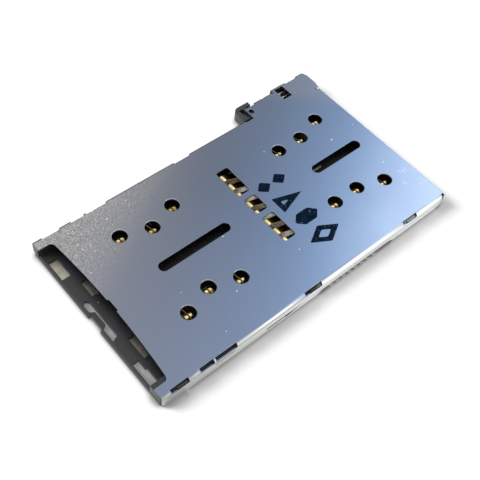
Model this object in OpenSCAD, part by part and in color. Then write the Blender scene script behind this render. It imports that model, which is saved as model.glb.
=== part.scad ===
// Board socket for a sliding tray that carries two SIM cards, or one SIM card and one memory card.
// X runs across the socket, Y from the mouth to the back, and Z up from the circuit board.
// Places along Y are measured from the mouth, and those of the rear half from the back. Places
// across that belong to the cards are measured from the card axis, beside the middle of the shell.

/* [Shell] */
// Outer width across the side walls
shell_w = 16.1; // [15.8:0.1:18]
// Length from the mouth to the outside of the back wall
shell_l = 29.3; // [29:0.1:33]
// Height of the top plate above the board
shell_h = 1.4; // [1.3:0.05:1.8]
// Thickness of the stamped sheet
sheet_t = 0.15; // [0.12:0.01:0.18]
// Outside radius of the folds
fold_r = 0.25; // [0.2:0.01:0.35]
// Height of the walls above the board between their solder feet
wall_lift = 0.3; // [0.2:0.05:0.4]
// Start of the front solder foot
front_foot_y = 0.7; // [0.3:0.1:2]
// Distance from the front solder foot to the first solder tail of the memory card contacts
foot_gap = 1.05; // [0.9:0.05:1.2]
// Distance of the right wall's rear solder foot from the back
rear_foot_back = 6.6; // [6:0.1:7]
// Length of the slope at the end of a solder foot
foot_slope = 0.5; // [0.1:0.05:0.6]
// Radius of the right wall's lower rear corner
rear_corner_r = 0.6; // [0.3:0.05:0.8]
// Opening of the corners between the walls
corner_gap = 0.45; // [0.3:0.05:0.8]

/* [Mouth of the shell] */
// Width of the horn at each side of the mouth
horn_w = 0.95; // [0.6:0.05:1.2]
// Depth of the cut-back next to the horns
mouth_end_cut = 1.2; // [0.8:0.05:1.5]
// Extra depth of the cut-back at its middle
mouth_bow = 0.35; // [0.1:0.05:0.8]
// Radius of the inner corners of the cut-back
mouth_corner_r = 0.3; // [0.1:0.05:0.4]
// Place of the parting nick's left end across the mouth
nick_x = -0.5; // [-1:0.05:0]
// Width of the parting nick
nick_w = 1.15; // [0.4:0.05:1.5]
// Depth of the parting nick
nick_d = 0.12; // [0.05:0.01:0.2]

/* [Windows in the folds] */
// Height of the windows down the wall
fold_window_h = 0.4; // [0.3:0.05:0.5]
// Start of the front window
front_window_y = 0.8; // [0.5:0.05:1.2]
// Length of the front window
front_window_l = 1.55; // [1:0.05:1.8]
// Start of the spring window
spring_window_y = 3.35; // [3.1:0.05:4]
// Length of the spring window
spring_window_l = 3.3; // [2:0.1:4]
// Width of the bridge across the spring window
bridge_w = 0.16; // [0.1:0.02:0.3]
// Place of the bridge from the start of the spring window
bridge_y = 1.3; // [0.8:0.1:1.6]
// Height of the slit that frees the spring strip
slit_h = 0.12; // [0.06:0.01:0.15]
// Height of the spring strip under its window
spring_strip_h = 0.18; // [0.1:0.02:0.25]
// Distance of the middle window's start from the front solder foot's end
mid_window_back = 1.9; // [1.75:0.05:2.2]
// Length of the middle window
mid_window_l = 1.7; // [1:0.1:1.8]
// Distance of the right wall's rear window from the back
rear_window_back = 5.2; // [4.8:0.1:5.8]
// Length of the rear window of the right wall
rear_window_l = 1.6; // [1:0.1:2]
// Distance from the lock arm's slit to the middle window
arm_slit_gap = 0.15; // [0.1:0.05:0.4]
// Length of the lock arm's slit
arm_slit_l = 3.6; // [2:0.1:4]
// Length of the slit's wide end
arm_wedge_l = 1.7; // [1:0.1:1.9]
// Height of the lock arm's slit
arm_slit_h = 0.18; // [0.1:0.01:0.2]
// Height of the lock arm above the board
arm_h = 0.3; // [0.26:0.02:0.42]
// Drop of the slit's wide end below the slit
arm_wedge_h = 0.18; // [0.05:0.01:0.2]

/* [Openings in the top plate] */
// Diameter of the holes above the SIM contacts
hole_d = 1.2; // [1:0.05:1.5]
// Rolled edge round the holes
hole_edge = 0.04; // [0.02:0.01:0.06]
// Width of the long slots
slot_w = 0.9; // [0.6:0.05:1.2]
// Start of the front slot
front_slot_y = 6.1; // [5.5:0.1:7]
// Distance from the front slot to the windows over the memory card contacts
front_slot_gap = 2.4; // [1.5:0.1:4]
// Distance of the rear slot's start from the back
rear_slot_back = 7.3; // [6.3:0.1:7.8]
// Length of the rear slot
rear_slot_l = 5.4; // [4:0.1:6]
// Distance of the windows over the memory card contacts in front of the tips
card_window_lead = 0.3; // [0.2:0.05:0.4]
// Length of those windows
card_window_l = 1.2; // [0.9:0.05:1.5]
// Reach of the first window beyond the first contact
card_window_start = 0.64; // [0.4:0.02:0.7]
// Reach of each window beyond its last contact
card_window_end = 0.1; // [0:0.02:0.3]
// Width of the bars between those windows
card_bar_w = 0.53; // [0.3:0.01:0.6]
// Corner radius of those windows
card_window_r = 0.2; // [0.05:0.05:0.3]

/* [Cards] */
// Offset of the card axis from the middle of the shell
card_axis = -0.35; // [-0.5:0.05:-0.2]
// Width of the shell beside the tray channel, left and right together
tray_margin = 2.1; // [1.9:0.1:2.5]
// Distance of the contact rows from the card axis
row_x = 3.81; // [3.6:0.01:4]
// Sideways shift of a contact from its row
row_shift = 0.4; // [0.3:0.05:0.5]
// Pitch of the SIM contacts along a row
sim_pitch = 2.5; // [2.3:0.02:2.54]
// Middle of the front SIM field
front_field_y = 8.03; // [7.9:0.05:8.3]
// Distance of the rear SIM field's middle from the back
rear_field_back = 5.58; // [5.2:0.02:5.6]
// Pitch of the memory card contacts
card_pitch = 1.1; // [1.05:0.01:1.12]
// Offset of the memory card contacts from the middle of the shell
card_row_x = -0.47; // [-0.6:0.01:-0.3]
// Distance of the memory card contacts' roots from the rear SIM field's middle
card_root_back = 5.42; // [5.2:0.02:5.8]
// Length of the memory card contacts from the root to the tip
card_beam_l = 2.7; // [2.4:0.05:3]

/* [Contacts] */
// Thickness of the contact strip
lead_t = 0.12; // [0.1:0.01:0.14]
// Width of the SIM contacts at the root
sim_root_w = 0.8; // [0.6:0.05:0.85]
// Width of the SIM contacts at the tip
sim_tip_w = 0.6; // [0.4:0.05:0.7]
// Slit that splits the tip of a SIM contact into two fingers
sim_slit_w = 0.12; // [0.08:0.01:0.16]
// Length of the solder tail of a SIM contact
sim_tail_l = 0.75; // [0.5:0.05:0.8]
// Distance from the card axis to the roots on the spine
spine_root_x = 1; // [0.9:0.05:1.3]
// Distance of the roots beside the rails from the tray channel's edge
rail_root_gap = 1.1; // [0.9:0.05:1.3]
// Depth of the SIM contacts' crowns below the top plate's face
sim_crown_drop = 0.45; // [0.25:0.05:0.5]
// Width of the memory card contacts at the root
card_root_w = 0.72; // [0.5:0.02:0.76]
// Width of the memory card contacts at the tip
card_tip_w = 0.6; // [0.4:0.05:0.65]
// Depth of the memory card contacts' crowns below the top plate's face
card_crown_drop = 0.2; // [0.1:0.05:0.4]
// Outside radius of a contact's crown
crown_r = 0.38; // [0.3:0.02:0.45]
// Outside radius of the bend at a contact's root
root_bend_r = 0.36; // [0.3:0.02:0.45]
// Angle by which a contact's tip dips past its crown
tip_dip = 55; // [30:1:70]
// Distance of the leads from the memory card contacts' roots and from the rear field's windows
lane_margin = 0.3; // [0.2:0.02:0.32]
// Width of the leads that run to the right wall
lane_w = 0.15; // [0.1:0.01:0.16]
// Distance of the first solder tail along the right wall in front of the roots
tail_lead = 2.05; // [1.9:0.05:2.2]
// Pitch of the solder tails along the right wall
tail_pitch = 0.67; // [0.6:0.01:0.68]
// Distance from the last lead's bend to the solder tails
lane_fan_gap = 0.6; // [0.4:0.05:0.9]
// Width of those solder tails
tail_w = 0.32; // [0.2:0.02:0.4]
// Reach of those solder tails beyond the right wall
tail_reach = 0.02; // [0.01:0.01:0.5]

/* [Base housing] */
// Thickness of the floor
floor_t = 0.35; // [0.3:0.01:0.4]
// Clearance between the housing and the shell
fit = 0.05; // [0.02:0.01:0.08]
// Clearance of the housing round the contacts moulded into it
mould_gap = 0.01; // [0.005:0.005:0.02]
// Clearance of a floor window round a spring
spring_gap = 0.1; // [0.06:0.01:0.12]
// Thickness of the stop wall at the back
stop_t = 0.7; // [0.4:0.05:0.8]
// Width of the bar across the front edge
front_bar_w = 0.24; // [0.2:0.01:0.28]
// Chamfer along the front edge
front_chamfer = 0.12; // [0.05:0.01:0.15]
// Width of the gate notch in the front edge
gate_w = 1.5; // [1:0.1:2]
// Depth of the gate notch
gate_d = 0.2; // [0.1:0.01:0.2]
// Length of the tab behind the gate notch
gate_tab_l = 0.4; // [0.3:0.02:0.42]
// Half of the middle window's width
mid_opening_x = 2; // [1.6:0.05:2.1]
// Depth of the windows behind the front bar
front_opening_l = 0.54; // [0.5:0.02:0.7]
// Chamfer of the middle window's corners
opening_chamfer = 0.25; // [0.1:0.01:0.3]
// Distance of the right window from the middle
right_opening_x = 4.25; // [4:0.05:4.5]
// Width of the right window's short part
right_opening_step = 0.8; // [0.6:0.05:1]
// Depth of the right window beside the rail
right_opening_l = 0.66; // [0.6:0.02:0.9]
// Start of the second row of windows
second_opening_y = 1.2; // [1.15:0.05:1.3]
// Length of the second row of windows
second_opening_l = 1.55; // [1:0.05:1.6]
// Width of a front solder anchor
anchor_w = 2.55; // [2.4:0.05:2.6]
// Length of a front solder anchor
anchor_l = 1.2; // [1.1:0.02:1.3]
// Margin of the housing over a solder anchor's sides and back
anchor_rim = 0.3; // [0.2:0.05:0.35]
// Margin of the housing over a solder anchor's front edge
anchor_lip = 0.12; // [0.08:0.01:0.15]
// Place of the left solder anchor's middle
left_anchor_x = -5.45; // [-5.6:0.05:-5.4]
// Place of the right solder anchor's middle
right_anchor_x = 3.4; // [3.3:0.05:3.5]
// Share of a fold window's length that a latch boss fills
boss_share = 0.6; // [0.4:0.05:0.8]

/* [Detect switch] */
// Width of the switch bay outside the left wall
bay_w = 1.55; // [1.5:0.05:1.8]
// Distance of the bay's front edge from the back wall
bay_l = 7.35; // [7:0.05:7.6]
// Step of the bay's side between its front and its rear part
bay_step = 0.3; // [0.2:0.02:0.34]
// Distance of that step from the back wall
bay_step_back = 3.85; // [3.75:0.05:4.2]
// Distance of the front part's wall from the bay's front edge
bay_wall_y = 1.3; // [1.2:0.05:1.5]
// Width of the gaps beside the bay's walls
bay_gap = 0.2; // [0.15:0.05:0.3]
// Length of the rear part's wall behind the step
bay_wall_l = 1.6; // [1.2:0.05:1.8]
// Length of the wall at the bay's rear corner
bay_corner_l = 0.75; // [0.5:0.05:1]
// Distance of that wall from the bay's back
bay_corner_back = 0.3; // [0.28:0.01:0.4]
// Reach of the bay beyond the back wall
bay_back = 0.25; // [0.15:0.05:0.4]
// Length of the bay's window
bay_window_l = 0.95; // [0.6:0.05:1.2]
// Width of the bay's window
bay_window_w = 1.36; // [1.1:0.02:1.4]
// Distance of the bay's window from the bay's outer side
bay_window_x = 0.3; // [0.28:0.01:0.4]
// Distance of the bay's window from the back wall
bay_window_back = 2.7; // [2.4:0.1:3]
// Radius of the relief hole behind the bay's front edge
relief_r = 0.25; // [0.2:0.01:0.3]
// Distance of the relief hole's middle from the left wall
relief_x = 0.48; // [0.4:0.02:0.6]
// Strip between the relief hole and the bay's front edge
relief_strip = 0.1; // [0.06:0.02:0.2]
// Length of the ear in front of the bay
ear_l = 0.8; // [0.75:0.05:1.1]
// Corner radius of the ear
ear_r = 0.6; // [0.3:0.05:0.7]
// Reach of the ear's outer side beyond the bay's
ear_reach = 0.15; // [0.05:0.01:0.2]
// Width of the ear's ridge beside the bay
ridge_w = 0.4; // [0.3:0.01:0.44]
// Length of the ear's ridge beside the bay
ridge_l = 0.95; // [0.6:0.05:1]
// Length of the ear's front block before the pit
ear_block_l = 0.4; // [0.3:0.05:0.6]
// Depth of the pit in the ear
pit_d = 0.7; // [0.4:0.05:0.8]
// Thickness of the switch springs
leaf_t = 0.1; // [0.08:0.01:0.12]
// Height of the switch springs
leaf_h = 0.55; // [0.4:0.05:0.6]
// Distance between the two switch springs
leaf_gap = 0.5; // [0.4:0.02:0.52]
// Room beside the switch springs
leaf_room = 0.25; // [0.2:0.01:0.26]
// Reach of the switch spring's bump into the tray channel
bump_reach = 0.35; // [0.2:0.05:0.5]
// Distance of the bump's middle from the bay's front edge
bump_y = 2.4; // [2.2:0.1:2.6]
// Length of the bump's flat face
bump_l = 0.5; // [0.3:0.05:0.6]
// Length of the ramp behind the bump
bump_ramp_l = 1.35; // [1:0.05:1.5]
// Distance of the springs' tips from the bay's front edge
leaf_tip_y = 1.3; // [1.2:0.05:1.4]
// Length of the springs' roots that the housing grips
leaf_root_l = 0.55; // [0.4:0.05:0.7]
// Wall of the housing behind the springs' roots
leaf_back_t = 0.15; // [0.1:0.01:0.25]
// Distance of the switch spring from the bay's outer wall
leaf_x = 0.85; // [0.82:0.01:0.9]
// Length of the terminal's bent end
terminal_bend_l = 0.6; // [0.4:0.05:0.8]
// Sideways bend of the terminal's end towards the spring
terminal_bend = 0.12; // [0.05:0.01:0.15]
// Distance of the terminal's end from the bay's step
terminal_y = 0.15; // [0.1:0.05:0.3]

/* [Hidden] */
$fn = 48;
SIM_COUNT = 6;
CARD_COUNT = 8;
// Last memory card contact under each of the three windows
WINDOW_LAST = [2, 4, CARD_COUNT - 1];

steel = [0.62, 0.67, 0.75];
charcoal = [0.17, 0.17, 0.18];
gold = [0.83, 0.65, 0.29];
tin = [0.72, 0.69, 0.63];

// Overshoot of a cut beyond the face that it opens
cut = 0.5;
wall_x = shell_w / 2;
plate_x = wall_x - fold_r;
plate_y = shell_l - fold_r;
plate_z = shell_h - sheet_t;
notch_w = corner_gap / 2;
fold_window_z = shell_h - fold_window_h;

// Places along the shell that follow from its back
rear_field_y = shell_l - rear_field_back;
card_root_y = rear_field_y - card_root_back;
card_tip_y = card_root_y - card_beam_l;
card_window_y = card_tip_y - card_window_lead;
tail_y = card_root_y - tail_lead;
front_foot_end = tail_y - foot_gap;
mid_window_y = front_foot_end - mid_window_back;
arm_slit_end = mid_window_y - arm_slit_gap;
front_slot_l = card_window_y - front_slot_gap - front_slot_y;
rear_slot_y = shell_l - rear_slot_back;
rear_foot_y = shell_l - rear_foot_back;
wall_end = shell_l - corner_gap;
rear_window_y = shell_l - rear_window_back;

// Housing outline inside the shell
base_x = wall_x - sheet_t - fit;
base_y = shell_l - sheet_t - fit;
rail_z = plate_z - fit;
tray_w = shell_w - tray_margin;
rail_left = card_axis - tray_w / 2;
rail_right = card_axis + tray_w / 2;

// Switch bay
bay_x = -wall_x - bay_w;
bay_y = shell_l - bay_l;
bay_end = shell_l + bay_back;
bay_base_x = bay_x + sheet_t + fit;
bay_base_end = bay_end - sheet_t - fit;
bay_step_y = shell_l - bay_step_back;
bay_window_y = shell_l - bay_window_back - bay_window_l;
bay_corner_end = bay_end - bay_corner_back;
front_bay_x = bay_x + bay_step;
front_bay_mid = (bay_y + bay_wall_y + bay_step_y - bay_gap) / 2;
front_bay_base_x = front_bay_x + sheet_t + fit;
ear_x = bay_x - ear_reach;
ear_y = bay_y - ear_l;
left_wall_end = ear_y - fit;
spring_x = bay_base_x + leaf_x;
terminal_x = spring_x - leaf_gap;
bump_x = rail_left + bump_reach;
bump_end = bay_y + bump_y + bump_l / 2;
leaf_tip = bay_y + leaf_tip_y;
leaf_end = bay_base_end - leaf_back_t;
leaf_root = leaf_end - leaf_root_l;
terminal_tip = bay_step_y + terminal_y;
leaf_z = floor_t + mould_gap;

// Contact profile
lead_mid = lead_t / 2;
ARC_STEPS = 7;
rail_root_x = tray_w / 2 - rail_root_gap;
card_lane_y = card_root_y + lane_margin;
rear_windows_y = rear_field_y - sim_pitch - sim_root_w / 2 - spring_gap;
lane_pitch = (rear_windows_y - lane_margin - card_lane_y) / (CARD_COUNT - 1);
lane_turn_x = card_row_x + card_pitch * (CARD_COUNT - 1) / 2 + card_root_w;
lane_fan_x = rail_right + lane_w;
lane_stagger = (lane_fan_x - lane_fan_gap - lane_turn_x) / (CARD_COUNT - 1);

// SIM contacts of a field: row side, place along the row, whether the root is on the spine
FRONT_SPINE = [true, false, true];
REAR_SPINE = [false, false, true];
function sim_side(i) = i < SIM_COUNT / 2 ? -1 : 1;
function sim_step(i) = i % (SIM_COUNT / 2) - 1;
function sim_tip_x(spine) = row_x + (spine ? row_shift : -row_shift);
function card_x(i) = card_row_x + card_pitch * (i - (CARD_COUNT - 1) / 2);

// Angle of the straight ramp that joins the root bend to the crown
function ramp_angle(run, rise, r1, r2) = atan2(rise, run) + asin((r1 + r2) / norm([run, rise]));

// Middle line of a spring contact: along, up and slope, from the tail to the dipped tip
function spring_line(tail_l, beam_l, top_z) =
    let (r1 = root_bend_r - lead_mid, r2 = crown_r - lead_mid, foot_z = lead_mid + r1,
         head_z = top_z - crown_r, slope = ramp_angle(beam_l, head_z - foot_z, r1, r2))
    concat(
        [[-tail_l, lead_mid, 0]],
        [for (k = [0:ARC_STEPS]) let (d = slope * k / ARC_STEPS)
            [r1 * sin(d), foot_z - r1 * cos(d), d]],
        [for (k = [0:ARC_STEPS]) let (d = slope - (slope + tip_dip) * k / ARC_STEPS)
            [beam_l - r2 * sin(d), head_z + r2 * cos(d), d]]);

// Outline of a strip of even thickness along a middle line
function strip(line, t) = concat(
    [for (p = line) [p.x - t / 2 * sin(p.z), p.y + t / 2 * cos(p.z)]],
    [for (i = [len(line) - 1:-1:0]) let (p = line[i])
        [p.x + t / 2 * sin(p.z), p.y - t / 2 * cos(p.z)]]);

// Outline of a band of even width along a line of straight runs, with mitred corners
function band(points, w) =
    let (last = len(points) - 1,
         runs = [for (i = [1:last]) (points[i] - points[i - 1]) / norm(points[i] - points[i - 1])],
         sides = [for (i = [0:last])
             let (a = runs[max(i - 1, 0)], b = runs[min(i, last - 1)], m = (a + b) / (1 + a * b))
             w / 2 * [-m.y, m.x]])
    concat([for (i = [0:last]) points[i] + sides[i]], [for (i = [last:-1:0]) points[i] - sides[i]]);

// Puts a piece drawn from the mouth into the part's frame
module from_mouth() {
    translate([0, -shell_l / 2, 0]) children();
}

// Copies a piece onto both sides of the middle plane
module both_sides() {
    children();
    mirror([1, 0, 0]) children();
}

module round_rect(w, l, r) {
    translate([r, 0]) square([w - 2 * r, l]);
    translate([0, r]) square([w, l - 2 * r]);
    for (x = [r, w - r], y = [r, l - r]) translate([x, y]) circle(r);
}

module obround(w, l) {
    translate([-w / 2, w / 2]) square([w, l - w]);
    for (y = [w / 2, l - w / 2]) translate([0, y]) circle(d = w);
}

// Section of a fold and the wall under it, with the plate's top face at zero
module fold_section(drop) {
    translate([fold_r - sheet_t, -drop]) square([sheet_t, drop - fold_r]);
    difference() {
        intersection() {
            translate([0, -fold_r]) circle(fold_r);
            translate([0, -fold_r]) square(fold_r);
        }
        translate([0, -fold_r]) circle(fold_r - sheet_t);
    }
}

// Folded wall that runs along Y on the right of the plate edge
module side_wall(start, end) {
    translate([plate_x, end, shell_h]) rotate([90, 0, 0])
        linear_extrude(end - start) fold_section(shell_h - wall_lift);
}

// Folded wall that runs along X behind a plate edge
module rear_wall(start, end, edge_y) {
    translate([start, edge_y, shell_h]) rotate([0, 0, 90]) rotate([90, 0, 0])
        linear_extrude(end - start) fold_section(shell_h - wall_lift);
}

// Piece of the right wall, drawn along Y and up
module in_right_wall(margin) {
    translate([wall_x - sheet_t - margin, 0, 0]) rotate([90, 0, 90])
        linear_extrude(sheet_t + 2 * margin) children();
}

// Solder foot that brings the right wall down to the board, with sloped ends
module wall_foot(start, end) {
    top = wall_lift + sheet_t;
    in_right_wall(0) polygon([[start + foot_slope, 0], [end - foot_slope, 0], [end, wall_lift],
        [end, top], [start, top], [start, wall_lift]]);
}

// Rear solder foot of the right wall, which runs on to the wall's end
module rear_foot() {
    in_right_wall(0) polygon([[rear_foot_y, wall_lift], [rear_foot_y + foot_slope, 0], [wall_end, 0],
        [wall_end, wall_lift + sheet_t], [rear_foot_y, wall_lift + sheet_t]]);
}

// Rounds the lower rear corner of the right wall
module rear_corner_cut() {
    in_right_wall(cut) difference() {
        translate([wall_end - rear_corner_r, -cut]) square([rear_corner_r + cut, rear_corner_r + cut]);
        translate([wall_end - rear_corner_r, rear_corner_r]) circle(rear_corner_r);
    }
}

module fold_window(start, length) {
    translate([plate_x, start, fold_window_z]) cube([fold_r + cut, length, fold_window_h + cut]);
}

// Slit along the right wall
module wall_slit(start, length, z, h) {
    translate([wall_x - sheet_t - cut, start, z]) cube([sheet_t + 2 * cut, length, h]);
}

// Windows that both walls have
module common_windows() {
    fold_window(front_window_y, front_window_l);
    fold_window(spring_window_y, bridge_y - bridge_w / 2);
    fold_window(spring_window_y + bridge_y + bridge_w / 2, spring_window_l - bridge_y - bridge_w / 2);
    fold_window(mid_window_y, mid_window_l);
    wall_slit(spring_window_y + bridge_y, spring_window_l - bridge_y - bridge_w,
        fold_window_z - spring_strip_h - slit_h, slit_h);
    arm_slit();
}

// Slit above the right wall's lock arm, wide where the arm is bent in and pointed at its end
module arm_slit() {
    top = arm_h + arm_slit_h;
    wedge_y = arm_slit_end - arm_wedge_l;
    in_right_wall(cut) polygon([[arm_slit_end - arm_slit_l, top], [arm_slit_end - arm_slit_l, arm_h],
        [wedge_y, arm_h], [wedge_y, arm_h - arm_wedge_h], [arm_slit_end, top]]);
}

// Cut-back of the plate between the horns, with a bowed edge
module mouth_cut() {
    half_w = wall_x - horn_w;
    bow_r = (half_w * half_w + mouth_bow * mouth_bow) / (2 * mouth_bow);
    straight = mouth_end_cut - mouth_corner_r;
    translate([-half_w, -cut]) square([2 * half_w, straight + cut]);
    for (x = [-1, 1]) translate([x * (half_w - mouth_corner_r), straight]) circle(mouth_corner_r);
    intersection() {
        translate([0, mouth_end_cut + mouth_bow - bow_r]) circle(bow_r, $fn = 360);
        translate([-half_w + mouth_corner_r, -cut])
            square([2 * (half_w - mouth_corner_r), mouth_end_cut + mouth_bow + 2 * cut]);
    }
    translate([nick_x, 0]) square([nick_w, mouth_end_cut + mouth_bow + nick_d]);
}

module card_windows() {
    for (k = [0:len(WINDOW_LAST) - 1]) {
        end = card_x(WINDOW_LAST[k]) + card_window_end;
        start = k == 0 ? card_x(0) - card_window_start
            : card_x(WINDOW_LAST[k - 1]) + card_window_end + card_bar_w;
        translate([start, card_window_y]) round_rect(end - start, card_window_l, card_window_r);
    }
}

// Places each child above a SIM contact's tip
module at_sim_tips() {
    for (i = [0:SIM_COUNT - 1]) {
        front = sim_tip_x(FRONT_SPINE[i % 3]);
        rear = sim_tip_x(REAR_SPINE[i % 3]);
        translate([card_axis + sim_side(i) * front, front_field_y + sim_step(i) * sim_pitch])
            children();
        translate([card_axis + sim_side(i) * rear, rear_field_y + sim_step(i) * sim_pitch])
            children();
    }
}

module plate_outline() {
    difference() {
        union() {
            translate([-plate_x, 0]) square([2 * plate_x, plate_y]);
            translate([front_bay_x + fold_r, bay_y])
                square([-plate_x - front_bay_x - fold_r + cut, bay_end - fold_r - bay_y]);
            translate([bay_x + fold_r, bay_step_y])
                square([bay_step + fold_r, bay_end - fold_r - bay_step_y]);
        }
        mouth_cut();
        card_windows();
        at_sim_tips() circle(d = hole_d);
        translate([card_axis, front_slot_y]) obround(slot_w, front_slot_l);
        translate([card_axis, rear_slot_y]) obround(slot_w, rear_slot_l);
        translate([-wall_x - relief_x, bay_y + relief_strip + relief_r]) circle(relief_r);
        translate([bay_x + bay_window_x, bay_window_y]) square([bay_window_w, bay_window_l]);
        // The bay's plate stops short of the back wall's left end
        translate([-plate_x + corner_gap, plate_y]) square([2 * plate_x, bay_back + cut]);
        translate([-plate_x + corner_gap, plate_y - notch_w]) square([notch_w, notch_w + cut]);
    }
}

module shell() {
    color(steel) from_mouth() difference() {
        union() {
            translate([0, 0, plate_z]) linear_extrude(sheet_t) plate_outline();
            side_wall(0, wall_end);
            mirror([1, 0, 0]) side_wall(0, left_wall_end);
            translate([plate_x + bay_x + fold_r, 0, 0]) mirror([1, 0, 0]) {
                side_wall(bay_step_y, bay_step_y + bay_wall_l);
                side_wall(bay_corner_end - bay_corner_l, bay_corner_end);
            }
            translate([plate_x + front_bay_x + fold_r, 0, 0]) mirror([1, 0, 0]) {
                side_wall(bay_y + bay_wall_y, front_bay_mid - bay_gap / 2);
                side_wall(front_bay_mid + bay_gap / 2, bay_step_y - bay_gap);
            }
            rear_wall(-plate_x + corner_gap + notch_w, wall_x - fit, plate_y);
            rear_wall(bay_x + fold_r + notch_w, -plate_x, bay_end - fold_r);
            both_sides() wall_foot(front_foot_y, front_foot_end);
            rear_foot();
        }
        rear_corner_cut();
        both_sides() common_windows();
        fold_window(rear_window_y, rear_window_l);
        at_sim_tips() translate([0, 0, shell_h - hole_edge])
            cylinder(h = 2 * hole_edge, d1 = hole_d, d2 = hole_d + 4 * hole_edge);
    }
}

// Latch boss of the housing in the rear part of a fold window of the right wall
module latch_boss(start, length) {
    boss_l = length * boss_share;
    boss_x = wall_x - fit;
    translate([0, start + length - fit, 0]) rotate([90, 0, 0]) linear_extrude(boss_l)
        polygon([
            [base_x - cut, fold_window_z + fit], [boss_x, fold_window_z + fit],
            [boss_x, fold_window_z + 2 * fit], [base_x, rail_z], [base_x - cut, rail_z]]);
}

// Plan outline of a spring contact's floor window
module spring_window(beam_l, w) {
    translate([0, -w / 2 - spring_gap])
        square([beam_l + crown_r + 2 * spring_gap, w + 2 * spring_gap]);
}

// Frame of a SIM contact: the bend of its root at the origin and its tip towards +X
module at_sim_root(i, spine, field_y) {
    root_x = spine ? spine_root_x : rail_root_x;
    turned = sim_side(i) * (spine ? 1 : -1) < 0 ? 180 : 0;
    translate([card_axis + sim_side(i) * root_x, field_y + sim_step(i) * sim_pitch, 0])
        rotate([0, 0, turned]) children();
}

function sim_beam_l(spine) = spine ? sim_tip_x(true) - spine_root_x : rail_root_x - sim_tip_x(false);

module at_card_root(i) {
    translate([card_x(i), card_root_y, 0]) rotate([0, 0, -90]) children();
}

// Lead of a memory card contact, from its root to its tail under the right wall
module card_lead(i, grow) {
    order = CARD_COUNT - 1 - i;
    lane = card_lane_y + lane_pitch * order;
    end_y = tail_y + tail_pitch * order;
    turn_x = lane_turn_x + lane_stagger * order;
    polygon(band([[card_x(i), card_root_y], [card_x(i), lane], [turn_x, lane], [lane_fan_x, end_y],
        [wall_x, end_y]], lane_w + 2 * grow));
    translate([lane_fan_x - grow, end_y - tail_w / 2 - grow])
        square([wall_x + tail_reach - lane_fan_x + grow, tail_w + 2 * grow]);
}

// Openings of the floor at the mouth
module mouth_openings() {
    front = front_bar_w;
    back = front + front_opening_l;
    x = mid_opening_x;
    c = opening_chamfer;
    tab_x = gate_w / 2;
    tab = gate_d + gate_tab_l;
    polygon([[-x, back - c], [-x + c, back], [x - c, back], [x, front], [tab_x, front], [tab_x - c, tab],
        [-tab_x, tab], [-tab_x - c, front], [-x + c, front]]);
    translate([right_opening_x, front]) square([rail_right - right_opening_x, front_opening_l]);
    translate([right_opening_x + right_opening_step, front])
        square([rail_right - right_opening_x - right_opening_step, right_opening_l]);
    translate([-mid_opening_x - second_opening_l, second_opening_y])
        square([second_opening_l, second_opening_l]);
}

// Plan of the left solder anchor, with the foot that shows in the window beside it
module left_anchor_plan(grow) {
    foot_x = -mid_opening_x - second_opening_l - anchor_rim;
    foot_y = front_bar_w - anchor_lip + anchor_l - anchor_rim;
    translate([left_anchor_x, front_bar_w - anchor_lip]) anchor_plan(grow);
    translate([left_anchor_x - grow, foot_y - grow])
        square([foot_x + anchor_rim - left_anchor_x + 2 * grow, anchor_rim + 2 * grow]);
    translate([foot_x - grow, foot_y - grow])
        square([second_opening_l + anchor_rim + 2 * grow, anchor_l + 2 * grow]);
}

module right_anchor_plan(grow) {
    translate([right_anchor_x, second_opening_y - anchor_lip]) anchor_plan(grow);
}

// Plan of a solder anchor from the middle of its front edge
module anchor_plan(grow) {
    translate([-anchor_w / 2 - grow, -grow]) square([anchor_w + 2 * grow, anchor_l + 2 * grow]);
}

module anchor_window() {
    translate([anchor_rim - anchor_w / 2, anchor_lip])
        square([anchor_w - 2 * anchor_rim, anchor_l - anchor_rim - anchor_lip]);
}

module base_outline() {
    difference() {
        translate([-base_x, 0]) square([2 * base_x, base_y]);
        translate([-gate_w / 2, -cut]) square([gate_w, gate_d + cut]);
        mouth_openings();
        translate([left_anchor_x, front_bar_w - anchor_lip]) anchor_window();
        translate([right_anchor_x, second_opening_y - anchor_lip]) anchor_window();
        for (i = [0:SIM_COUNT - 1]) {
            at_sim_root(i, FRONT_SPINE[i % 3], front_field_y)
                spring_window(sim_beam_l(FRONT_SPINE[i % 3]), sim_root_w);
            at_sim_root(i, REAR_SPINE[i % 3], rear_field_y)
                spring_window(sim_beam_l(REAR_SPINE[i % 3]), sim_root_w);
        }
        // Windows as wide as the pitch join into one for the row of memory card contacts
        for (i = [0:CARD_COUNT - 1])
            at_card_root(i) spring_window(card_beam_l, card_pitch);
    }
}

// Channels on the underside that take the moulded-in leads
module lead_channels() {
    translate([0, 0, -cut]) linear_extrude(lead_t + mould_gap + cut) {
        for (i = [0:SIM_COUNT - 1]) {
            at_sim_root(i, FRONT_SPINE[i % 3], front_field_y) tail_channel(sim_tail_l, sim_root_w);
            at_sim_root(i, REAR_SPINE[i % 3], rear_field_y) tail_channel(sim_tail_l, sim_root_w);
        }
        for (i = [0:CARD_COUNT - 1]) {
            at_card_root(i) tail_channel(lane_w, card_root_w);
            card_lead(i, mould_gap);
        }
        left_anchor_plan(mould_gap);
        right_anchor_plan(mould_gap);
    }
}

module tail_channel(l, w) {
    translate([-l - mould_gap, -w / 2 - mould_gap]) square([l + 2 * mould_gap, w + 2 * mould_gap]);
}

module spring_plan(grow) {
    polygon(band([[spring_x, leaf_end + grow], [spring_x, bump_end + bump_ramp_l], [bump_x, bump_end],
        [bump_x, bump_end - bump_l], [spring_x + leaf_t, leaf_tip]], leaf_t + 2 * grow));
}

module terminal_plan(grow) {
    polygon(band([[terminal_x, leaf_end + grow], [terminal_x, terminal_tip + terminal_bend_l],
        [terminal_x + terminal_bend, terminal_tip]], leaf_t + 2 * grow));
}

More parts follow.
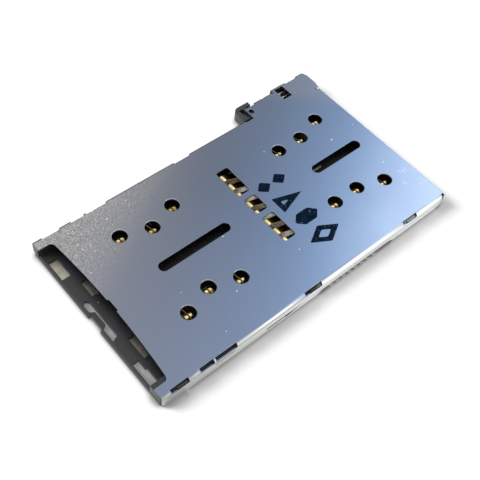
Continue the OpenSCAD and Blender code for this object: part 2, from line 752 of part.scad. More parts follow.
// Foot and solder tail under a switch spring's root
module leaf_foot(x) {
    translate([x - leaf_t / 2, leaf_root, 0]) cube([leaf_t, leaf_root_l, leaf_z + leaf_t]);
    translate([x - tail_w / 2, leaf_root, 0]) cube([tail_w, bay_end - leaf_root, lead_t]);
}

// Ear in front of the bay: a block with a rounded corner and a ridge that runs on beside the bay
module ear_outline() {
    inner_x = -wall_x - fit;
    translate([ear_x, ear_y + ear_r]) square([inner_x - ear_x, ear_l - ear_r]);
    translate([ear_x + ear_r, ear_y]) square([inner_x - ear_x - ear_r, ear_l]);
    translate([ear_x + ear_r, ear_y + ear_r]) circle(ear_r);
    translate([ear_x, ear_y + ear_r]) square([ridge_w, ear_l - ear_r + ridge_l]);
}

// Pit between the ear's front block, its ridge and the bay's front edge
module ear_pit() {
    front = ear_y + ear_block_l;
    back = bay_y + fit;
    ridge_x = ear_x + ridge_w;
    translate([0, 0, rail_z - pit_d]) linear_extrude(pit_d + cut)
        polygon([[ridge_x, front], [ridge_x, back], [-wall_x - fit - ridge_w / 2, back],
            [-wall_x - fit - ridge_w / 2, (front + back) / 2]]);
}

module base_solid() {
    linear_extrude(floor_t) base_outline();
    translate([-base_x, 0, 0]) cube([base_x + rail_left, base_y, rail_z]);
    translate([rail_right, 0, 0]) cube([base_x - rail_right, base_y, rail_z]);
    translate([-base_x, base_y - stop_t, 0]) cube([2 * base_x, stop_t, rail_z]);
    translate([bay_base_x, bay_step_y + fit, 0])
        cube([-base_x - bay_base_x + fit, bay_base_end - bay_step_y - fit, rail_z]);
    translate([front_bay_base_x, bay_y - fit, 0])
        cube([-base_x - front_bay_base_x + fit, bay_step_y - bay_y + 3 * fit, rail_z]);
    translate([0, 0, wall_lift]) linear_extrude(rail_z - wall_lift) ear_outline();
    both_sides() {
        latch_boss(front_window_y, front_window_l);
        latch_boss(mid_window_y, mid_window_l);
    }
    latch_boss(rear_window_y, rear_window_l);
}

// Chamfer along the front edge between the rails
module front_edge_cut() {
    translate([rail_left, 0, floor_t]) rotate([90, 0, 90]) linear_extrude(tray_w)
        polygon([[-front_chamfer, 0], [0, -front_chamfer], [front_chamfer, 0], [0, front_chamfer]]);
}

// Room in the bay for the two switch springs, open to the tray channel at the bump
module switch_room() {
    room_y = leaf_tip - leaf_room;
    terminal_room_y = terminal_tip - leaf_room / 2;
    translate([terminal_x - leaf_room, terminal_room_y, floor_t])
        cube([rail_left - leaf_room - terminal_x, leaf_root - terminal_room_y, rail_z]);
    translate([spring_x - leaf_room, room_y, floor_t])
        cube([rail_left - spring_x - leaf_room, leaf_root - room_y, rail_z]);
    translate([spring_x, room_y, floor_t])
        cube([rail_left - spring_x + fit, bump_end + bump_ramp_l - room_y, rail_z]);
    // The housing's outer wall is open beside the bay's window
    translate([bay_base_x - cut, bay_window_y, floor_t]) cube([leaf_gap + cut, bay_window_l, rail_z]);
    translate([0, 0, floor_t]) linear_extrude(rail_z) {
        spring_plan(mould_gap);
        terminal_plan(mould_gap);
    }
    for (x = [spring_x, terminal_x]) {
        translate([x - leaf_t / 2 - mould_gap, leaf_root - mould_gap, -cut])
            cube([leaf_t + 2 * mould_gap, leaf_root_l + 2 * mould_gap, rail_z]);
        translate([x - tail_w / 2 - mould_gap, leaf_root - mould_gap, -cut])
            cube([tail_w + 2 * mould_gap, shell_l, lead_t + mould_gap + cut]);
    }
}

module base_housing() {
    color(charcoal) from_mouth() difference() {
        base_solid();
        lead_channels();
        switch_room();
        ear_pit();
        front_edge_cut();
    }
}

// Spring contact bent from one strip, with its root's bend at the origin and its tip towards +X
module spring_contact(tail_l, beam_l, top_z, root_w, tip_w) {
    line = spring_line(tail_l, beam_l, top_z);
    end = beam_l + crown_r;
    intersection() {
        translate([0, root_w / 2, 0]) rotate([90, 0, 0])
            linear_extrude(root_w) polygon(strip(line, lead_t));
        linear_extrude(shell_h) polygon([
            [-tail_l, -root_w / 2], [0, -root_w / 2], [beam_l - crown_r, -tip_w / 2], [end, -tip_w / 2],
            [end, tip_w / 2], [beam_l - crown_r, tip_w / 2], [0, root_w / 2], [-tail_l, root_w / 2]]);
    }
}

module sim_contact(i, spine, field_y) {
    beam_l = sim_beam_l(spine);
    color(gold) from_mouth() at_sim_root(i, spine, field_y) difference() {
        spring_contact(sim_tail_l, beam_l, shell_h - sim_crown_drop, sim_root_w, sim_tip_w);
        translate([beam_l / 2, -sim_slit_w / 2, -cut]) cube([beam_l, sim_slit_w, shell_h + cut]);
    }
}

module memory_card_contact(i) {
    color(gold) from_mouth() {
        at_card_root(i) spring_contact(lane_w, card_beam_l, shell_h - card_crown_drop,
            card_root_w, card_tip_w);
        linear_extrude(lead_t) card_lead(i, 0);
    }
}

module detect_spring() {
    color(tin) from_mouth() {
        translate([0, 0, leaf_z]) linear_extrude(leaf_h) spring_plan(0);
        leaf_foot(spring_x);
    }
}

module detect_terminal() {
    color(tin) from_mouth() {
        translate([0, 0, leaf_z]) linear_extrude(leaf_h) terminal_plan(0);
        leaf_foot(terminal_x);
    }
}

module front_anchor_left() {
    color(tin) from_mouth() linear_extrude(lead_t) left_anchor_plan(0);
}

module front_anchor_right() {
    color(tin) from_mouth() linear_extrude(lead_t) right_anchor_plan(0);
}

shell();
base_housing();
for (i = [0:SIM_COUNT - 1]) {
    sim_contact(i, FRONT_SPINE[i % 3], front_field_y);
    sim_contact(i, REAR_SPINE[i % 3], rear_field_y);
}
for (i = [0:CARD_COUNT - 1])
    memory_card_contact(i);
detect_spring();
detect_terminal();
front_anchor_left();
front_anchor_right();
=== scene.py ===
# Tray socket for SIM and memory cards, seen from above its mouth's right corner.
# A black moulded base carries the spring contacts, and a stamped steel shell folds down over it.
# The pieces follow in the order in which they go together; every length is in metres.
import math

import bpy
from mathutils import Matrix, Vector


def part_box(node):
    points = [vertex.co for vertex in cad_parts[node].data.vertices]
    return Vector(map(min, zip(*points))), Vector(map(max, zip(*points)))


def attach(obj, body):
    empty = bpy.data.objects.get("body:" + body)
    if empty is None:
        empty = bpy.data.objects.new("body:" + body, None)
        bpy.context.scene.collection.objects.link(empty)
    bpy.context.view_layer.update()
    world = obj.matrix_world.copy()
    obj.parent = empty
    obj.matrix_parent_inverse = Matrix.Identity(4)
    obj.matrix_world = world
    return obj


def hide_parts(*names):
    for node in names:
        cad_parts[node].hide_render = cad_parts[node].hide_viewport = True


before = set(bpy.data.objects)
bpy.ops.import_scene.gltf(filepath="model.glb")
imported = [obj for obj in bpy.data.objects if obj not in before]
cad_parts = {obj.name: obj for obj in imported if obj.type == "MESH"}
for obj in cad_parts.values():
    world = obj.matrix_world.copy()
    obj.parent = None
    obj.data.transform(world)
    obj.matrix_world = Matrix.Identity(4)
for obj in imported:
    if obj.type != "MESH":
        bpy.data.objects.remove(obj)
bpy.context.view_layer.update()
bpy.context.scene.view_settings.view_transform = "Standard"

# Base housing: one black moulding of glass-filled plastic, with rails, floor windows and latch
# bosses. Its copy gets the small rounded edges of a moulded part, and the finish its fine speckle
# of fibres and the paler worn edges.
mm = 0.001
weld_gap = 0.0001 * mm
flat_angle = math.radians(0.5)
bevel_angle = math.radians(40)
smooth_angle = math.radians(30)
level_normal = 0.9999
moulded_edge = 0.02 * mm


def rounded_copy(node, name, edge, finish):
    """Copies a CAD node's mesh, joins its loose triangles, rounds its edges and finishes it."""
    piece = bpy.data.objects.new(name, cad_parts[node].data.copy())
    bpy.context.collection.objects.link(piece)
    bpy.ops.object.select_all(action="DESELECT")
    piece.select_set(True)
    bpy.context.view_layer.objects.active = piece
    bpy.ops.mesh.customdata_custom_splitnormals_clear()
    bpy.ops.object.mode_set(mode="EDIT")
    bpy.ops.mesh.select_all(action="SELECT")
    bpy.ops.mesh.remove_doubles(threshold=weld_gap)
    bpy.ops.mesh.dissolve_limited(angle_limit=flat_angle)
    bpy.ops.object.mode_set(mode="OBJECT")
    bevel = piece.modifiers.new("rounded_edges", "BEVEL")
    bevel.width = edge
    bevel.segments = 2
    bevel.limit_method = "ANGLE"
    bevel.angle_limit = bevel_angle
    bpy.ops.object.modifier_apply(modifier=bevel.name)
    bpy.ops.object.shade_smooth_by_angle(angle=smooth_angle)
    for face in piece.data.polygons:
        face.use_smooth = abs(face.normal.z) < level_normal
    flats = piece.modifiers.new("flat_faces", "WEIGHTED_NORMAL")
    flats.weight = 100
    flats.keep_sharp = True
    bpy.ops.object.modifier_apply(modifier=flats.name)
    piece.data.materials.clear()
    piece.data.materials.append(finish)
    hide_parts(node)
    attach(piece, "root")


def new_group(name, inputs, outputs):
    """Starts a shader node group with named number inputs and outputs."""
    group = bpy.data.node_groups.new(name, "ShaderNodeTree")
    for label, value in inputs.items():
        socket = group.interface.new_socket(
            label, in_out="INPUT", socket_type="NodeSocketFloat"
        )
        socket.default_value = value
    for label in outputs:
        group.interface.new_socket(label, in_out="OUTPUT", socket_type="NodeSocketFloat")
    return group, group.nodes.new("NodeGroupInput"), group.nodes.new("NodeGroupOutput")


def feed(tree, value, socket):
    """Feeds a socket from another one, or sets it to a number."""
    if isinstance(value, bpy.types.NodeSocket):
        tree.links.new(value, socket)
    else:
        socket.default_value = value


def coordinates(tree):
    """Gives the place on the part, in metres."""
    return tree.nodes.new("ShaderNodeTexCoord").outputs["Object"]


def normals(tree):
    """Gives the direction in which the surface looks."""
    return tree.nodes.new("ShaderNodeNewGeometry").outputs["Normal"]


def split(tree, vector):
    """Splits a vector into its X, Y and Z."""
    node = tree.nodes.new("ShaderNodeSeparateXYZ")
    tree.links.new(vector, node.inputs["Vector"])
    return node.outputs


def noise(tree, place, scale, detail=3.0):
    """Adds a noise texture on a place, with its scale per metre as a number or a socket."""
    texture = tree.nodes.new("ShaderNodeTexNoise")
    texture.inputs["Detail"].default_value = detail
    tree.links.new(place, texture.inputs["Vector"])
    feed(tree, scale, texture.inputs["Scale"])
    return texture.outputs["Fac"]


def ramp(tree, value, low, high, start=0.0, end=1.0):
    """Maps a value between two levels onto a range, held at both ends."""
    node = tree.nodes.new("ShaderNodeMapRange")
    node.clamp = True
    levels = {"From Min": low, "From Max": high, "To Min": start, "To Max": end}
    for label, level in levels.items():
        node.inputs[label].default_value = level
    tree.links.new(value, node.inputs["Value"])
    return node.outputs["Result"]


def calc(tree, operation, first, second=0.0):
    """Adds a Math node on sockets or numbers."""
    node = tree.nodes.new("ShaderNodeMath")
    node.operation = operation
    feed(tree, first, node.inputs[0])
    feed(tree, second, node.inputs[1])
    return node.outputs["Value"]


def product(tree, first, *others):
    """Multiplies masks, each a socket or a number."""
    for other in others:
        first = calc(tree, "MULTIPLY", first, other)
    return first


def tint(tree, amount, first, second):
    """Mixes two colours, each a socket or a tuple, by an amount."""
    node = tree.nodes.new("ShaderNodeMix")
    node.data_type = "RGBA"
    tree.links.new(amount, node.inputs["Factor"])
    for label, colour in (("A", first), ("B", second)):
        socket = next(s for s in node.inputs if s.name == label and s.type == "RGBA")
        feed(tree, (*colour, 1.0) if isinstance(colour, tuple) else colour, socket)
    return next(s for s in node.outputs if s.type == "RGBA")


def coats(tree, ground, *layers):
    """Lays colours over a ground colour, one after the other, each by its own amount."""
    for amount, colour in layers:
        ground = tint(tree, amount, ground, colour)
    return ground


# Worn edges: where the rounded normal leaves the face's own, broken up by a fine noise.
edge_group, edge_in, edge_out = new_group(
    "worn_edges", {"Breakup": 9000.0, "Width": 0.06 * mm}, ["Wear"]
)
edge_round = edge_group.nodes.new("ShaderNodeBevel")
edge_round.samples = 4
edge_group.links.new(edge_in.outputs["Width"], edge_round.inputs["Radius"])
edge_dot = edge_group.nodes.new("ShaderNodeVectorMath")
edge_dot.operation = "DOT_PRODUCT"
edge_group.links.new(edge_round.outputs["Normal"], edge_dot.inputs[0])
edge_group.links.new(normals(edge_group), edge_dot.inputs[1])
edge_turn = ramp(edge_group, edge_dot.outputs["Value"], 0.995, 0.85)
edge_noise = noise(edge_group, coordinates(edge_group), edge_in.outputs["Breakup"])
edge_break = ramp(edge_group, edge_noise, 0.38, 0.62)
edge_group.links.new(product(edge_group, edge_turn, edge_break), edge_out.inputs["Wear"])

# Fine grain: height of a surface grain, and a mask of softer patches over it.
grain_group, grain_in, grain_out = new_group(
    "fine_grain", {"Grain scale": 12000.0, "Patch scale": 500.0}, ["Height", "Patches"]
)
grain_place = coordinates(grain_group)
grain_fine = noise(grain_group, grain_place, grain_in.outputs["Grain scale"])
grain_soft = noise(grain_group, grain_place, grain_in.outputs["Patch scale"], 4.0)
grain_group.links.new(grain_fine, grain_out.inputs["Height"])
grain_group.links.new(ramp(grain_group, grain_soft, 0.35, 0.65), grain_out.inputs["Patches"])

# Dust: sparse pale specks on faces that look up, one at most in each cell of a loose mesh.
dust_group, dust_in, dust_out = new_group(
    "dust_specks", {"Cell scale": 450.0, "Share": 0.25, "Size": 0.04}, ["Specks"]
)
dust_cells = dust_group.nodes.new("ShaderNodeTexVoronoi")
dust_cells.voronoi_dimensions = "2D"
dust_group.links.new(coordinates(dust_group), dust_cells.inputs["Vector"])
dust_group.links.new(dust_in.outputs["Cell scale"], dust_cells.inputs["Scale"])
dust_draw = dust_group.nodes.new("ShaderNodeSeparateColor")
dust_group.links.new(dust_cells.outputs["Color"], dust_draw.inputs["Color"])
dust_size = product(
    dust_group,
    ramp(dust_group, dust_draw.outputs["Green"], 0.0, 1.0, 0.4),
    dust_in.outputs["Size"],
)
dust_specks = product(
    dust_group,
    calc(dust_group, "LESS_THAN", dust_cells.outputs["Distance"], dust_size),
    calc(dust_group, "LESS_THAN", dust_draw.outputs["Red"], dust_in.outputs["Share"]),
    ramp(dust_group, split(dust_group, normals(dust_group))["Z"], 0.8, 0.95),
)
dust_group.links.new(dust_specks, dust_out.inputs["Specks"])


def new_finish(name, metallic, specular=0.5):
    """Starts a material and gives back its tree and its shader."""
    material = bpy.data.materials.new(name)
    material.use_nodes = True
    shader = material.node_tree.nodes["Principled BSDF"]
    shader.inputs["Metallic"].default_value = metallic
    shader.inputs["Specular IOR Level"].default_value = specular
    return material, material.node_tree, shader


def place_group(tree, group, **values):
    """Places a node group in a material with its own values, and gives back its outputs."""
    node = tree.nodes.new("ShaderNodeGroup")
    node.node_tree = group
    for label, value in values.items():
        node.inputs[label.replace("_", " ").capitalize()].default_value = value
    return node.outputs


def dress(tree, shader, colour, roughness, height, strength, depth):
    """Feeds a colour, a roughness and a height of fine bumps into a shader."""
    bump = tree.nodes.new("ShaderNodeBump")
    bump.inputs["Strength"].default_value = strength
    bump.inputs["Distance"].default_value = depth
    tree.links.new(height, bump.inputs["Height"])
    tree.links.new(colour, shader.inputs["Base Color"])
    tree.links.new(roughness, shader.inputs["Roughness"])
    tree.links.new(bump.outputs["Normal"], shader.inputs["Normal"])


plastic, plastic_tree, plastic_shader = new_finish("black_glass_filled_plastic", 0.0)
plastic_grain = place_group(plastic_tree, grain_group, grain_scale=16000.0, patch_scale=700.0)
plastic_wear = place_group(plastic_tree, edge_group, breakup=7000.0)
plastic_dust = place_group(plastic_tree, dust_group, cell_scale=1500.0, share=0.2, size=0.06)
plastic_at = split(plastic_tree, coordinates(plastic_tree))
# Painted shade: near black under the shell, behind the mouth's bar and beside the ear
plastic_painted_shade = product(
    plastic_tree,
    ramp(plastic_tree, plastic_at["Y"], -14.0 * mm, -13.0 * mm),
    ramp(plastic_tree, plastic_at["X"], -8.3 * mm, -7.9 * mm),
)
# Painted sheen: the upper edge of the right rail is grey from the middle to the back
plastic_rail_sheen = product(
    plastic_tree,
    ramp(plastic_tree, plastic_at["X"], 7.0 * mm, 7.3 * mm),
    ramp(plastic_tree, plastic_at["Y"], -0.2 * mm, 0.6 * mm),
    ramp(plastic_tree, plastic_at["Z"], 0.7 * mm, 0.9 * mm),
)
plastic_fibres = ramp(plastic_tree, plastic_grain["Height"], 0.6, 0.72, 0.0, 0.5)
plastic_colour = coats(
    plastic_tree,
    tint(plastic_tree, plastic_grain["Patches"], (0.02, 0.02, 0.022), (0.034, 0.033, 0.036)),
    (plastic_painted_shade, (0.004, 0.004, 0.006)),
    (plastic_rail_sheen, (0.5, 0.55, 0.56)),
    (plastic_fibres, (0.075, 0.074, 0.078)),
    (product(plastic_tree, plastic_wear["Wear"], 0.6), (0.14, 0.135, 0.15)),
    (plastic_dust["Specks"], (0.4, 0.38, 0.36)),
)
plastic_roughness = ramp(plastic_tree, plastic_grain["Patches"], 0.0, 1.0, 0.42, 0.58)
dress(
    plastic_tree, plastic_shader, plastic_colour, plastic_roughness,
    plastic_grain["Height"], 0.35, 0.01 * mm,
)
rounded_copy("base_housing", "base_moulding", moulded_edge, plastic)

# Spring contacts: narrow strips of copper alloy, stamped, bent and gold plated, moulded into the
# base. Six for each SIM card and eight for the memory card; the plating is painted dark on the
# beams as shade, and bright on the crowns, partly worn and partly a painted highlight, and the
# solder tails under the right wall are tinned.
contact_edge = 0.015 * mm
sim_dull, sim_shine = (0.5, 0.35, 0.1), (0.96, 0.76, 0.32)
card_dull, card_shine = (0.78, 0.64, 0.3), (1.0, 0.93, 0.64)


def plated_strip(name, crown, dull, shine):
    """Makes the plating of a strip: a dark ground of painted shade, and a crown at a height
    painted between two tones, partly polish and partly a painted highlight.
    """
    finish, tree, shader = new_finish(name, 1.0)
    grain = place_group(tree, grain_group, grain_scale=20000.0, patch_scale=2500.0)
    wear = place_group(tree, edge_group, breakup=9000.0, width=0.03 * mm)
    place = coordinates(tree)
    at = split(tree, place)
    # The crown's top is painted bright, partly worn and partly a painted highlight
    crown_glint_and_wear = ramp(tree, at["Z"], crown - 0.028 * mm, crown - 0.01 * mm)
    crown_polish_and_glint = tint(tree, ramp(tree, noise(tree, place, 330.0), 0.42, 0.58), dull, shine)
    on_tail = ramp(tree, at["X"], 6.6 * mm, 6.8 * mm)
    # The dark ground stands in for the shade the beams reflect: painted shade
    colour = coats(
        tree,
        tint(tree, grain["Patches"], (0.2, 0.13, 0.04), (0.32, 0.22, 0.08)),
        (product(tree, wear["Wear"], 0.5), (0.75, 0.6, 0.3)),
        (crown_glint_and_wear, crown_polish_and_glint),
        (on_tail, (0.7, 0.7, 0.69)),
    )
    roughness = ramp(tree, grain["Height"], 0.3, 0.7, 0.16, 0.3)
    dress(tree, shader, colour, roughness, grain["Height"], 0.2, 0.005 * mm)
    return finish


for row, dull, shine in (
    ("front_sim_contact_", sim_dull, sim_shine),
    ("rear_sim_contact_", sim_dull, sim_shine),
    ("memory_card_contact_", card_dull, card_shine),
):
    row_nodes = [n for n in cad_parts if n.startswith(row)]
    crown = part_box(row_nodes[0])[1].z
    plating = plated_strip(row.replace("contact_", "plating"), crown, dull, shine)
    for contact in row_nodes:
        spring = contact.replace("contact", "spring")
        rounded_copy(contact, spring, contact_edge, plating)

# Solder anchors and the detect switch's two strips: flat strips of the same alloy, with a grey
# plating instead of gold. The anchors are tinned and lie in floor windows at the mouth, and the
# nickel-plated strips stand on edge in the switch bay.
strip_edge = 0.012 * mm


def grey_plating(name, dull, clean):
    """Makes a matt plating between two tones, rubbed paler at its edges."""
    finish, tree, shader = new_finish(name, 1.0)
    grain = place_group(tree, grain_group, grain_scale=14000.0, patch_scale=1200.0)
    wear = place_group(tree, edge_group, breakup=8000.0)
    colour = coats(
        tree,
        tint(tree, grain["Patches"], dull, clean),
        (wear["Wear"], (0.7, 0.68, 0.65)),
    )
    roughness = ramp(tree, grain["Height"], 0.3, 0.7, 0.32, 0.5)
    dress(tree, shader, colour, roughness, grain["Height"], 0.3, 0.006 * mm)
    return finish


tin = grey_plating("matt_tin", (0.39, 0.36, 0.3), (0.53, 0.49, 0.43))
nickel = grey_plating("bright_nickel", (0.82, 0.82, 0.81), (0.95, 0.95, 0.94))
for strip, slot, finish in (
    ("front_anchor_left", "anchor_metal", tin),
    ("front_anchor_right", "anchor_metal", tin),
    ("detect_spring", "switch_metal", nickel),
    ("detect_terminal", "switch_metal", nickel),
):
    rounded_copy(strip, strip + "_strip", strip_edge, finish)

# Lead strip: the bare end of a lead that lies on the floor under the rear slot, tinned like the
# anchors. It is a flat strip with rounded ends.
lead_size = (0.16 * mm, 2.2 * mm, 0.04 * mm)
lead_middle = (-0.89 * mm, 7.9 * mm, 0.36 * mm)
lead_end_r = 0.07 * mm
bpy.ops.object.select_all(action="DESELECT")
bpy.ops.mesh.primitive_cube_add(size=1.0)
lead = bpy.context.active_object
lead.name = "spine_lead_strip"
lead.scale = lead_size
lead.location = lead_middle
bpy.ops.object.transform_apply(location=True, rotation=True, scale=True)
bpy.ops.object.mode_set(mode="EDIT")
bpy.ops.mesh.select_all(action="DESELECT")
bpy.ops.object.mode_set(mode="OBJECT")
for edge in lead.data.edges:
    low, high = (lead.data.vertices[i].co for i in edge.vertices)
    edge.select = abs(low.z - high.z) > 0.001 * mm
bpy.ops.object.mode_set(mode="EDIT")
bpy.ops.mesh.bevel(offset=lead_end_r, segments=4, affect="EDGES")
bpy.ops.object.mode_set(mode="OBJECT")
lead.data.materials.append(tin)
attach(lead, "root")

# Shell: one sheet of stainless steel, stamped and folded, with its cut edges left bare.
# The top is satin, with a painted reflection that runs from a sandy grey at the mouth's left
# corner through slate blue to a pale blue at the back's right corner, with specks of dust and a
# few light scratches.
stamped_edge = 0.02 * mm


def band(tree, value, start, full, last, end):
    """Gives 1 from one level of a value to another, and fades to 0 on both sides."""
    return product(tree, ramp(tree, value, start, full), ramp(tree, value, end, last))


steel, steel_tree, steel_shader = new_finish("satin_stainless_steel", 1.0)
steel_place = coordinates(steel_tree)
steel_at = split(steel_tree, steel_place)
steel_out = calc(steel_tree, "ABSOLUTE", steel_at["X"])
steel_normal = split(steel_tree, normals(steel_tree))
steel_grain = place_group(steel_tree, grain_group, grain_scale=12500.0, patch_scale=260.0)
steel_wear = place_group(steel_tree, edge_group, breakup=6000.0, width=0.03 * mm)
# The painted reflection of the top runs on over the fold at the back
steel_back = product(
    steel_tree,
    ramp(steel_tree, steel_normal["Y"], 0.1, 0.25),
    ramp(steel_tree, steel_normal["Z"], 0.05, 0.2),
)
steel_top = calc(
    steel_tree, "MAXIMUM", ramp(steel_tree, steel_normal["Z"], 0.85, 0.99), steel_back
)
# Painted reflection: a slanted run of tones, from the mouth's left corner to the back's right
# corner
steel_run = calc(
    steel_tree, "ADD",
    product(steel_tree, steel_at["X"], 0.5),
    product(steel_tree, steel_at["Y"], 0.3),
)
steel_reflection_tones = (
    (0.0, (0.42, 0.41, 0.39)),
    (0.22, (0.118, 0.127, 0.163)),
    (0.5, (0.145, 0.2, 0.305)),
    (0.75, (0.172, 0.265, 0.442)),
    (1.0, (0.42, 0.53, 0.73)),
)
steel_reflection_bands = steel_tree.nodes.new("ShaderNodeValToRGB")
steel_reflection_bands.color_ramp.interpolation = "B_SPLINE"
for _ in steel_reflection_tones[2:]:
    steel_reflection_bands.color_ramp.elements.new(0.5)
for element, (share, colour) in zip(steel_reflection_bands.color_ramp.elements, steel_reflection_tones):
    element.position = share
    element.color = (*colour, 1.0)
steel_tree.links.new(
    ramp(steel_tree, steel_run, -7.4 * mm, 7.6 * mm), steel_reflection_bands.inputs["Fac"]
)
# Painted reflection: a little paler towards the mouth, and greyer by the back's left corner
steel_mouth = ramp(steel_tree, steel_at["Y"], 1.0 * mm, -12.5 * mm, 0.0, 0.33)
steel_across = calc(steel_tree, "SUBTRACT", steel_at["Y"], steel_at["X"])
steel_corner = ramp(steel_tree, steel_across, 18.2 * mm, 21.0 * mm, 0.0, 0.3)
# Sandy grain by the mouth's left corner, its bright grains partly painted glints
steel_sand = ramp(steel_tree, steel_run, -7.2 * mm, -4.2 * mm, 1.0, 0.0)
steel_grit = ramp(steel_tree, steel_grain["Height"], 0.42, 0.58)
steel_sand_and_glints = tint(steel_tree, steel_grit, (0.13, 0.128, 0.125), (0.56, 0.55, 0.53))
# Dust all over, and more of it on the sandy corner
steel_dust = place_group(steel_tree, dust_group, cell_scale=450.0, share=0.13, size=0.026)
steel_more = place_group(steel_tree, dust_group, cell_scale=1500.0, share=0.5, size=0.065)
steel_specks = calc(
    steel_tree, "MAXIMUM",
    steel_dust["Specks"],
    product(
        steel_tree, steel_more["Specks"],
        ramp(steel_tree, steel_run, -5.5 * mm, -4.5 * mm, 1.0, 0.0),
    ),
)
# Short light scratches along the sheet by the back's right corner
steel_stretch = steel_tree.nodes.new("ShaderNodeMapping")
steel_stretch.inputs["Scale"].default_value = (1000.0, 5000.0, 0.0)
steel_tree.links.new(steel_place, steel_stretch.inputs["Vector"])
steel_strokes = steel_tree.nodes.new("ShaderNodeTexVoronoi")
steel_strokes.voronoi_dimensions = "2D"
steel_strokes.inputs["Scale"].default_value = 1.0
steel_tree.links.new(steel_stretch.outputs["Vector"], steel_strokes.inputs["Vector"])
steel_draw = steel_tree.nodes.new("ShaderNodeSeparateColor")
steel_tree.links.new(steel_strokes.outputs["Color"], steel_draw.inputs["Color"])
steel_scratched = product(
    steel_tree,
    band(steel_tree, steel_at["X"], 3.6 * mm, 4.4 * mm, 5.6 * mm, 6.4 * mm),
    band(steel_tree, steel_at["Y"], 12.4 * mm, 12.9 * mm, 14.0 * mm, 14.3 * mm),
    calc(steel_tree, "LESS_THAN", steel_draw.outputs["Red"], 0.25),
    ramp(steel_tree, steel_strokes.outputs["Distance"], 0.1, 0.32, 1.0, 0.0),
    0.5,
)
steel_face = coats(
    steel_tree,
    steel_reflection_bands.outputs["Color"],
    (steel_mouth, (0.335, 0.36, 0.45)),
    (steel_corner, (0.305, 0.303, 0.335)),
    (product(steel_tree, steel_sand, 0.6), steel_sand_and_glints),
    (steel_specks, (0.95, 0.95, 0.95)),
    (steel_scratched, (0.95, 0.96, 0.97)),
)
# Painted highlight on the side folds, bright at the back and darker towards the mouth as painted
# shade; the rims of the holes and windows keep near the painted tone of the top
steel_fold_highlight = tint(
    steel_tree, ramp(steel_tree, steel_at["Y"], -13.0 * mm, -2.0 * mm),
    (0.36, 0.37, 0.36), (0.93, 0.94, 0.93),
)
steel_fold = tint(
    steel_tree, ramp(steel_tree, steel_out, 7.3 * mm, 7.6 * mm), (0.44, 0.47, 0.54), steel_fold_highlight
)
# Walls are a little less bright, a painted reflection that darkens towards the mouth, with a
# faint dark line of painted shade along them towards the back
steel_wall_reflection = tint(
    steel_tree, ramp(steel_tree, steel_at["Y"], -14.0 * mm, 1.0 * mm),
    (0.4, 0.41, 0.39), (0.8, 0.81, 0.8),
)
steel_shade_line = product(
    steel_tree,
    band(steel_tree, steel_at["Z"], 0.5 * mm, 0.6 * mm, 0.8 * mm, 0.9 * mm),
    ramp(steel_tree, steel_at["Y"], -3.0 * mm, 3.0 * mm, 0.0, 0.35),
)
# A thin line of painted shade lies under each side fold, from the mouth to the middle
steel_crease_shade = product(
    steel_tree,
    band(steel_tree, steel_at["Z"], 1.02 * mm, 1.1 * mm, 1.22 * mm, 1.3 * mm),
    ramp(steel_tree, steel_out, 7.9 * mm, 7.95 * mm),
    ramp(steel_tree, steel_at["Y"], 1.5 * mm, -1.0 * mm, 0.0, 0.7),
)
# The left fold is painted dark, a painted reflection of dark surroundings
steel_left_fold_dark = product(
    steel_tree,
    ramp(steel_tree, steel_normal["X"], -0.1, -0.3),
    ramp(steel_tree, steel_at["Z"], 1.05 * mm, 1.2 * mm),
)
# Painted shade: the sides of the holes and windows are dark, and so are the sheet's ends at the
# mouth
steel_cut_shade = calc(
    steel_tree, "MAXIMUM",
    product(
        steel_tree,
        ramp(steel_tree, steel_at["Z"], 1.2 * mm, 1.25 * mm),
        ramp(steel_tree, steel_normal["Z"], 0.3, 0.1),
    ),
    ramp(steel_tree, steel_normal["Y"], -0.6, -0.9),
)
# Painted shade: faces that look down are dark
steel_underside_shade = ramp(steel_tree, steel_normal["Z"], -0.3, -0.8)
steel_colour = coats(
    steel_tree,
    steel_wall_reflection,
    (steel_shade_line, (0.2, 0.21, 0.2)),
    (ramp(steel_tree, steel_normal["Z"], 0.2, 0.5), steel_fold),
    (steel_crease_shade, (0.2, 0.21, 0.2)),
    (steel_underside_shade, (0.13, 0.13, 0.13)),
    (steel_top, steel_face),
    (steel_left_fold_dark, (0.045, 0.045, 0.05)),
    (product(steel_tree, steel_wear["Wear"], 0.55), (0.8, 0.81, 0.82)),
    (steel_cut_shade, (0.06, 0.06, 0.065)),
)
steel_roughness = ramp(steel_tree, steel_grain["Patches"], 0.0, 1.0, 0.26, 0.32)
steel_height = product(steel_tree, steel_grain["Height"], steel_sand)
dress(steel_tree, steel_shader, steel_colour, steel_roughness, steel_height, 0.3, 0.01 * mm)
rounded_copy("shell", "stamped_shell", stamped_edge, steel)

# Ink marks: a row of five simple inspection marks stamped in navy ink on the shell's top, behind
# the windows. Each is a thin film with rounded corners, and the steel shows through small flaws.
ink_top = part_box("shell")[1].z
ink_film = 0.005 * mm
ink_row = 3.7 * mm
ink_pitch = 2.1 * mm
ink_first = -1.5 * mm
ink_stroke = 0.44 * mm
ink_corner = 0.12 * mm
ink_pair = 0.8 * mm
ink, ink_tree, ink_shader = new_finish("navy_ink", 0.0, 0.0)
ink_grain = place_group(ink_tree, grain_group, grain_scale=7000.0, patch_scale=1800.0)
ink_colour = tint(ink_tree, ink_grain["Patches"], (0.004, 0.0095, 0.022), (0.009, 0.018, 0.042))
ink_roughness = ramp(ink_tree, ink_grain["Height"], 0.3, 0.7, 0.45, 0.7)
dress(ink_tree, ink_shader, ink_colour, ink_roughness, ink_grain["Height"], 0.3, 0.006 * mm)
ink_tree.links.new(
    ramp(ink_tree, ink_grain["Height"], 0.64, 0.7, 1.0, 0.2), ink_shader.inputs["Alpha"]
)

